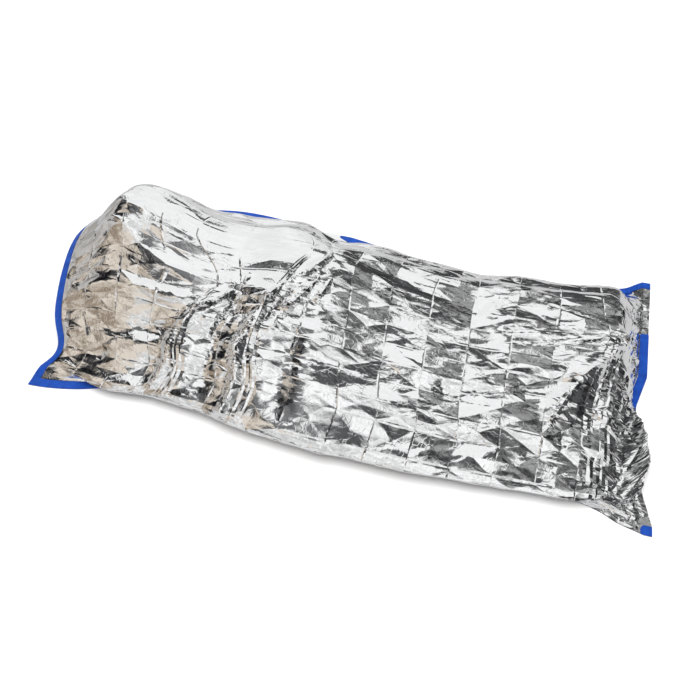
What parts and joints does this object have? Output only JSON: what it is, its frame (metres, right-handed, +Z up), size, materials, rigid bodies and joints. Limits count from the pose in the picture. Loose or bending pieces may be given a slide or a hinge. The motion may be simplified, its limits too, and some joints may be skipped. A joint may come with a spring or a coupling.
{
  "type": "emergency sleeping bag",
  "caption": "Rectangular emergency sleeping bag of crinkled silver film with blue bound edges, open at the mouth and standing up in the folds of use.",
  "frame": {"origin": "on the floor, under the middle of the bag's box", "axes": "+X from the mouth to the foot, +Y from the front seam to the back seam, +Z up"},
  "size_m": [1.9876, 0.9922, 0.3374],
  "materials": {
    "film": "metallised film, mirror-like and crinkled",
    "tape": "matt woven binding tape"
  },
  "bodies": {
    "root": {"top_panel": "film", "bottom_panel": "film", "near_binding": "tape", "far_binding": "tape", "foot_binding": "tape", "mouth_binding_top": "tape", "mouth_binding_bottom": "tape"}
  },
  "joints": []
}
